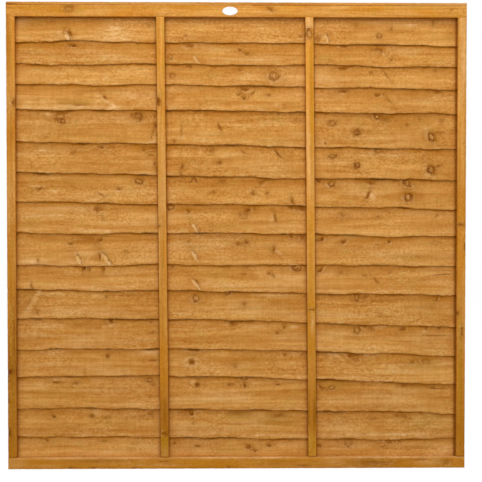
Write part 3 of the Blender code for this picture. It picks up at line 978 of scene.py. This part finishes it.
def unit_slab(cells_along, cells_up):
    """A gridded slab with all three sides one metre long, X along, Y deep and Z up."""
    bm = bmesh.new()
    bmesh.ops.create_grid(bm, x_segments=cells_along, y_segments=cells_up, size=0.5)
    thicken(bm, -1)
    bmesh.ops.rotate(bm, cent=(0, 0, 0), matrix=STAND_UP, verts=bm.verts)
    bmesh.ops.translate(bm, vec=(0.5, 0, 0.5), verts=bm.verts)
    bmesh.ops.recalc_face_normals(bm, faces=bm.faces)
    return bm


def beside_battens(x, z, side):
    """Distance from the nearest batten of the front or rear frame, 0 behind one. The battens
    lean a little, so each is measured at its foot and its head."""
    nearest = np.full(len(x), FAR)
    for name in ("left_edge", "left_inner", "right_inner", "right_edge"):
        foot, head = foot_and_head(node_points(f"{side}_{name}_batten"))
        levels = foot[:, 2].mean(), head[:, 2].mean()
        left = np.interp(z, levels, (foot[:, 0].min(), head[:, 0].min()))
        right = np.interp(z, levels, (foot[:, 0].max(), head[:, 0].max()))
        nearest = np.minimum(nearest, np.maximum(np.maximum(left - x, x - right), 0))
    return nearest


def add_board(outline, above, material, finish):
    """One board, shaped from a gridded slab: ragged waney lower edge, sawn ends, knots proud."""
    number = outline.number
    name = f"waney_board_{number:02d}"
    height = float(np.max(outline.upper - outline.lower))
    mesh = new_mesh(
        unit_slab(round(outline.length / CELL_LENGTH), round(height / CELL_HEIGHT)), name)
    # Rounding leaves some vertices a hair below 0, where the power has no value
    unit = np.clip(mesh_points(mesh), 0, 1)
    x = outline.left + outline.length * unit[:, 0]
    behind = unit[:, 1] > 0.5
    lower = outline.lower_at(x, finish.ragged)
    upper = outline.upper_at(x)
    share = unit[:, 2] ** ROWS_CLOSER
    z = lower + (upper - lower) * share
    up = z - lower

    figures = BOARD_FIGURES[number]
    bend, rise, crack = set_figures(mesh, x - LEFT, z - BASE - lap_rise(x, z), figures)
    wane = finish.wane * (1 + 0.8 * swell(x, "wane", number))
    wane = np.clip(wane, LEAST_WANE, outline.thickness - LEAST_EDGE)
    into = fading(up, wane)
    rounding = wane * (1 - np.sqrt(1 - WANE_ROUND * into * into))
    from_end = np.minimum(x - outline.left, outline.left + outline.length - x)
    arris = 0
    for from_edge, (eased, width) in ((upper - z, UPPER_ARRIS), (from_end, END_ARRIS)):
        arris = arris + eased * fading(from_edge, width)
    wavy = FACE_WAVE * swell(x + 0.7 * z, "face", number)
    front_y = FRONT_SET_IN + rounding + arris + wavy - KNOT_PROUD * np.clip(rise, 0, 1)
    back_y = outline.thickness - BACK_SET_IN + 0.6 * wavy - arris
    y = outline.front + outline.lean * share + np.where(behind, back_y, front_y)
    mesh.vertices.foreach_set("co", np.stack((x, y, z), axis=1).ravel())

    # Below the top rail its real shadow falls, so the dip and painted shade there are narrowed
    if above is None:
        lap = RAIL_LAP * (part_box("front_top_rail")[0][2] - z)
    else:
        lap = above.lower_at(x, finish.ragged) - z
    lap = np.where(behind, NO_LAP, np.maximum(lap, 0))
    # No two boards are cut from the same stretch of the pattern, and the back shows another depth
    offset = number * 3.7
    set_vectors(mesh, "grain", x + offset, z - BASE - bend, offset + 0.6 * behind)
    dip = np.full(len(x), BOARD_TONES[number - 1])
    set_vectors(mesh, "marks", np.where(behind, NO_EDGE, up), lap, dip)
    bark = outline.bark_and_gap_shadow_at(x) * fading(up, 4.5 * MM, 1.15)
    # Just below a lap the dark of the edge above is painted on as its shadow
    if above is not None:
        bark = np.maximum(bark, 0.9 * above.bark_and_gap_shadow_at(x) * fading(lap, 4 * MM, 1.2))
    # Painted shade beside each batten, and a painted shadow beside the last one, where the boards pass
    # behind it
    near = np.where(behind, beside_battens(x, z, "rear"), beside_battens(x, z, "front"))
    last_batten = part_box("front_right_edge_batten")[0][0]
    gap = np.where(behind, 0, fading(last_batten - x, 8 * MM, 1.3))
    pooled = np.clip(np.exp(-near / (6 * MM)) + gap, 0, 1)
    set_vectors(mesh, "stain", np.maximum(bark, 0.15 * gap), pooled, crack)
    return finish_piece(name, mesh, material, "boards", outline.node)


def add_sawn_length(node, material, slot, seed):
    """A rail, batten or capping strip: a sawn blank with worn arrises, as long as its node, that
    leans as its node does."""
    low, high = (Vector(corner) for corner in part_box(node))
    size = high - low
    upright = size.z > size.x
    foot, head = foot_and_head(node_points(node))
    lean = head[:, 0].mean() - foot[:, 0].mean() if upright else 0.0
    size.x -= abs(lean)

    bm = bmesh.new()
    bmesh.ops.create_cube(bm, size=1)
    bmesh.ops.scale(bm, vec=size, verts=bm.verts)
    bmesh.ops.bevel(bm, geom=bm.edges[:], offset=ARRIS, offset_type="OFFSET", segments=2,
                    profile=0.5, affect="EDGES", material=-1)
    run, side = (2, 0) if upright else (0, 2)
    cells = round(size[run] / CELL_LENGTH)
    for axis, share, cuts in ((run, 0.5, cells - 1), (side, 0.8, FACE_CUTS)):
        edges = [edge for edge in bm.edges
                 if abs(edge.verts[0].co[axis] - edge.verts[1].co[axis]) > size[axis] * share]
        bmesh.ops.subdivide_edges(bm, edges=edges, cuts=cuts, use_grid_fill=True)
    mesh = new_mesh(bm, "sawn_" + node)

    blank = mesh_points(mesh)
    along = blank[:, run] + size[run] / 2
    across = blank[:, side] + size[side] / 2
    depth = blank[:, 1] + size.y / 2
    bend, rise, crack = set_figures(mesh, along, across, FRAME_FIGURES.get(node, {}))
    from_side = np.abs(np.abs(blank[:, side]) - size[side] / 2)
    from_face = np.abs(np.abs(blank[:, 1]) - size.y / 2)
    at_side = from_side < 1.5 * ARRIS
    at_arris = (from_face < 1.2 * ARRIS) & (from_side < 1.2 * ARRIS)
    wear = ARRIS_WEAR * np.clip(1 + swell(along, "arris wear", seed), 0, 3)
    nibble = ARRIS_NIBBLE * np.clip(swell(along, "arris nibbles", seed), 0, 2)
    nibble = np.where(at_arris, nibble, 0) + rise * KNOT_SUNK
    inward = -np.sign(blank)
    shaped = blank.copy()
    shaped[:, 1] += inward[:, 1] * (wear * 0.5 + nibble)
    shaped[:, side] += inward[:, side] * np.where(at_side, wear + nibble, 0)
    shaped += np.array((low + high) / 2) + (BATTEN_SET.get(node, 0.0), 0, 0)
    if upright:
        shaped[:, 0] += lean * blank[:, 2] / size.z
    mesh.vertices.foreach_set("co", shaped.ravel())

    # No two timbers are cut from the same stretch of the pattern
    offset = seed * 2.9
    set_vectors(mesh, "grain", along + offset, across + offset - bend, depth + offset)
    far = np.full(len(along), NO_LAP)
    set_vectors(mesh, "marks", far, far, np.full(len(along), FRAME_TONES.get(node, 0.0)))
    # Painted shade: the narrow sides are darker between their arrises, and so is a batten's foot at the
    # rail
    sunk = np.clip((np.minimum(depth, size.y - depth) - 2 * MM) / (4 * MM), 0, 1)
    foot_end = fading(along, 5 * MM) if upright else 0
    pooled = np.clip(0.8 * sunk * at_side + 0.7 * foot_end, 0, 1)
    set_vectors(mesh, "stain", np.zeros(len(along)), pooled, crack)
    return finish_piece("sawn_" + node, mesh, material, slot, node)


def panel_settings(context):
    scene = context.scene
    return scene.fence_timber, scene.fence_fittings, scene.fence_stage


class FENCE_OT_lap_boards(bpy.types.Operator):
    """Dress the lapped boards with waney edges, knots and flowing grain"""
    bl_idname = "fence.lap_boards"
    bl_label = "Lap boards"

    def execute(self, context):
        finish = panel_settings(context)[0]
        material = sawn_timber("dip_treated_sawn_boards", "board", finish,
                               band_width=32, coarseness=1.0, weathering=0.0)
        above = None
        for number in sorted(BOARD_FIGURES):
            outline = BoardOutline(number)
            add_board(outline, above, material, finish)
            above = outline
        return {"FINISHED"}


class FENCE_OT_frame_timbers(bpy.types.Operator):
    """Dress the rails and battens of the front and rear frames"""
    bl_idname = "fence.frame_timbers"
    bl_label = "Rails and battens"

    def execute(self, context):
        finish = panel_settings(context)[0]
        material = sawn_timber("dip_treated_sawn_battens", "frame", finish,
                               band_width=15, coarseness=0.7, weathering=0.75)
        nodes = [name for name in sorted(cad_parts) if name.endswith(("rail", "batten"))]
        for seed, node in enumerate(nodes, start=FRAME_SEED):
            add_sawn_length(node, material, "frame", seed)
        return {"FINISHED"}


class FENCE_OT_capping(bpy.types.Operator):
    """Dress the capping strip"""
    bl_idname = "fence.capping"
    bl_label = "Capping strip"

    def execute(self, context):
        finish = panel_settings(context)[0]
        material = sawn_timber("dip_treated_capping", "board", finish,
                               band_width=15, coarseness=0.8, weathering=0.0)
        add_sawn_length("capping_strip", material, "capping", CAPPING_SEED)
        return {"FINISHED"}


class FENCE_OT_nails(bpy.types.Operator):
    """Drive the nails whose heads show on the rails and battens"""
    bl_idname = "fence.nails"
    bl_label = "Nail heads"

    def execute(self, context):
        radius = panel_settings(context)[1].nail_diameter / 2
        bm = bmesh.new()
        for centre, facing in nail_places():
            turn = Matrix.Rotation(math.radians(90) * facing, 4, "X")
            bmesh.ops.create_cone(
                bm, cap_ends=True, segments=14, radius1=radius, radius2=radius * 0.72,
                depth=NAIL_THICKNESS, matrix=Matrix.Translation(centre) @ turn,
            )
        mesh = new_mesh(bm, "nail_heads")
        finish_piece("nail_heads", mesh, dull_galvanising("dipped_galvanised_steel"), "nails")
        return {"FINISHED"}


def nail_places():
    """Middle of each nail head and the side it faces, 1 for the front and -1 for the back."""
    from_top, from_base = NAIL_LEVELS
    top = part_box("front_top_rail")[1][2]
    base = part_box("front_bottom_rail")[0][2]
    inner = [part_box(f"front_{side}_inner_batten") for side in ("left", "right")]
    ends = [LEFT + NAIL_FROM_END, LEFT + PANEL_WIDTH - NAIL_FROM_END]
    levels = {
        top - from_top: ends + [low[0] + NAIL_FROM_SIDE for low, high in inner],
        base + from_base: ends + [high[0] - NAIL_FROM_SIDE for low, high in inner],
    }
    faces = ((CAD_BOX[0][1] + NAIL_DRIVEN, 1), (CAD_BOX[1][1] - NAIL_DRIVEN, -1))
    return [((x, face, level), facing)
            for face, facing in faces for level, across in levels.items() for x in across]


class FENCE_OT_plate(bpy.types.Operator):
    """Fix the plain oval plate to the top rail"""
    bl_idname = "fence.plate"
    bl_label = "Oval plate"

    def execute(self, context):
        fittings = panel_settings(context)[1]
        low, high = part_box("front_top_rail")
        bm = bmesh.new()
        bmesh.ops.create_circle(bm, cap_ends=True, segments=72, radius=0.5)
        bmesh.ops.scale(bm, vec=(fittings.plate_width, fittings.plate_height, 1), verts=bm.verts)
        thicken(bm, PLATE_THICKNESS)
        bmesh.ops.recalc_face_normals(bm, faces=bm.faces)
        # A raised rim round a face that is a little sunk
        top_face = max(bm.faces, key=lambda f: f.calc_center_median().z)
        for width, rise in PLATE_STEPS:
            bmesh.ops.inset_region(bm, faces=[top_face], thickness=width, depth=rise)
        bmesh.ops.rotate(bm, cent=(0, 0, 0), matrix=STAND_UP, verts=bm.verts)
        place = (LEFT + fittings.plate_place, low[1] + PLATE_BEDDED, (low[2] + high[2]) / 2)
        bmesh.ops.translate(bm, vec=place, verts=bm.verts)
        mesh = new_mesh(bm, "oval_plate")
        material = moulded_abs("white_moulded_abs", fittings.plate_white)
        finish_piece("oval_plate", mesh, material, "plate")
        return {"FINISHED"}


def point_at(lamp, target):
    """Turn a lamp so that it looks at a point."""
    way = Vector(target) - lamp.location
    lamp.rotation_euler = way.to_track_quat("-Z", "Y").to_euler()


class FENCE_OT_stage(bpy.types.Operator):
    """Set up the camera, the soft lamps, the pale floor and the white surroundings"""
    bl_idname = "fence.stage"
    bl_label = "Stage"

    def execute(self, context):
        stage = panel_settings(context)[2]
        scene = context.scene
        scene.view_settings.view_transform = "Standard"
        middle = (LEFT + PANEL_WIDTH / 2, 0, BASE + PANEL_HEIGHT / 2)

        camera = bpy.data.objects.new("camera", bpy.data.cameras.new("camera"))
        camera.location = CAMERA_PLACE
        camera.rotation_euler = [math.radians(turn) for turn in CAMERA_TURNS]
        camera.data.lens = stage.lens
        scene.collection.objects.link(camera)
        scene.camera = camera

        for name, location, size, power in (
            ("key_lamp", (0.95, -2.3, 2.9), (1.6, 2.4), stage.key_power),
            ("fill_lamp", (0.7, -4.4, 0.6), (3.0, 2.4), stage.fill_power),
            ("rear_lamp", (1.4, 3.6, 2.2), (2.4, 1.6), stage.key_power * 0.8),
        ):
            light = bpy.data.lights.new(name, "AREA")
            light.shape = "RECTANGLE"
            light.size, light.size_y = size
            light.energy = power
            lamp = bpy.data.objects.new(name, light)
            lamp.location = location
            point_at(lamp, middle)
            scene.collection.objects.link(lamp)

        world = bpy.data.worlds.new("pale_surroundings")
        world.use_nodes = True
        scene.world = world
        tree = world.node_tree
        tree.nodes.clear()
        sky = add_node(tree, "Background", (1, 1, 1, 1), stage.sky_light)
        white = add_node(tree, "Background", (1, 1, 1, 1), 1.0)
        mix = add_node(tree, "MixShader", seen_directly(tree), sky, white)
        add_node(tree, "OutputWorld", mix)

        bm = bmesh.new()
        bmesh.ops.create_grid(bm, x_segments=1, y_segments=1, size=FLOOR_REACH)
        bmesh.ops.translate(bm, vec=(middle[0], 0, BASE), verts=bm.verts)
        mesh = new_mesh(bm, "floor")
        mesh.materials.append(pale_floor())
        floor = bpy.data.objects.new("floor", mesh)
        scene.collection.objects.link(floor)
        return {"FINISHED"}


def seen_directly(tree):
    """1 for rays that show the surroundings to the eye, directly or in gloss or glass."""
    path = add_node(tree, "LightPath")
    mirrored = add_node(tree, "Math", path.outputs["Is Glossy Ray"],
                        path.outputs["Is Transmission Ray"], operation="MAXIMUM")
    return add_node(tree, "Math", path.outputs["Is Camera Ray"], mirrored, operation="MAXIMUM")


def pale_floor():
    """Pale matt floor that shows nearly white and keeps a soft shadow under the panel."""
    material = bpy.data.materials.new("pale_matt_floor")
    material.use_nodes = True
    tree = material.node_tree
    tree.nodes.clear()
    matt = add_node(tree, "BsdfDiffuse", linear(FLOOR_WHITE))
    dim = add_node(tree, "BsdfDiffuse", (0.5, 0.5, 0.5, 1))
    glow = add_node(tree, "Emission", (1, 1, 1, 1), 1.12)
    shown = add_node(tree, "MixShader", 0.8, matt, glow)
    mix = add_node(tree, "MixShader", seen_directly(tree), dim, shown)
    add_node(tree, "OutputMaterial", mix)
    return material


class FENCE_PT_panel(bpy.types.Panel):
    """Sidebar panel with the finish, the fittings and the stage"""
    bl_idname = "FENCE_PT_panel"
    bl_label = "Fence panel"
    bl_space_type = "VIEW_3D"
    bl_region_type = "UI"
    bl_category = "Fence panel"

    def draw(self, context):
        layout = self.layout
        for settings in panel_settings(context):
            box = layout.box()
            for name in settings.__annotations__:
                box.prop(settings, name)
        for operator in OPERATORS:
            layout.operator(operator.bl_idname)


SETTINGS = {
    "fence_timber": FenceTimberFinish,
    "fence_fittings": FenceFittings,
    "fence_stage": FenceStage,
}
OPERATORS = (
    FENCE_OT_stage, FENCE_OT_lap_boards, FENCE_OT_frame_timbers, FENCE_OT_capping,
    FENCE_OT_nails, FENCE_OT_plate,
)


def register():
    for group in SETTINGS.values():
        bpy.utils.register_class(group)
    for cls in (*OPERATORS, FENCE_PT_panel):
        bpy.utils.register_class(cls)
    for name, group in SETTINGS.items():
        setattr(bpy.types.Scene, name, PointerProperty(type=group))


def unregister():
    for name in SETTINGS:
        delattr(bpy.types.Scene, name)
    for cls in (FENCE_PT_panel, *reversed(OPERATORS)):
        bpy.utils.unregister_class(cls)
    for group in reversed(SETTINGS.values()):
        bpy.utils.unregister_class(group)


def main():
    register()
    bpy.ops.fence.stage()
    bpy.ops.fence.lap_boards()
    bpy.ops.fence.frame_timbers()
    bpy.ops.fence.capping()
    bpy.ops.fence.nails()
    bpy.ops.fence.plate()


if __name__ == "__main__":
    main()
